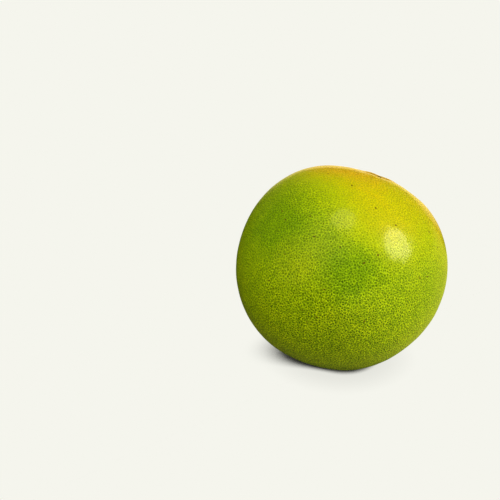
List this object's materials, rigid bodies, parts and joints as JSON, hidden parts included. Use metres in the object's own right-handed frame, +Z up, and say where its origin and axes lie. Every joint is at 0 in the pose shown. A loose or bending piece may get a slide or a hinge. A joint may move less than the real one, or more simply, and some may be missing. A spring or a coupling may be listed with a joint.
{
  "type": "orange",
  "caption": "Whole green-skinned sweet orange, slightly flattened at the stem, with a dry star-shaped calyx in its dimple, resting on a small flat spot.",
  "frame": {"origin": "middle of the small flat spot that the fruit rests on", "axes": "+Z up, -Y towards the viewer, +X to the viewer's right. The stem axis leans 28.5 degrees from +Z, to the right and back"},
  "size_m": [0.0717, 0.0711, 0.0699],
  "materials": {
    "peel": "pebbled green to yellow citrus peel with a soft waxy shine",
    "calyx": "dry brown, matte"
  },
  "bodies": {
    "root": {"fruit": "peel", "calyx": "calyx"}
  },
  "joints": []
}
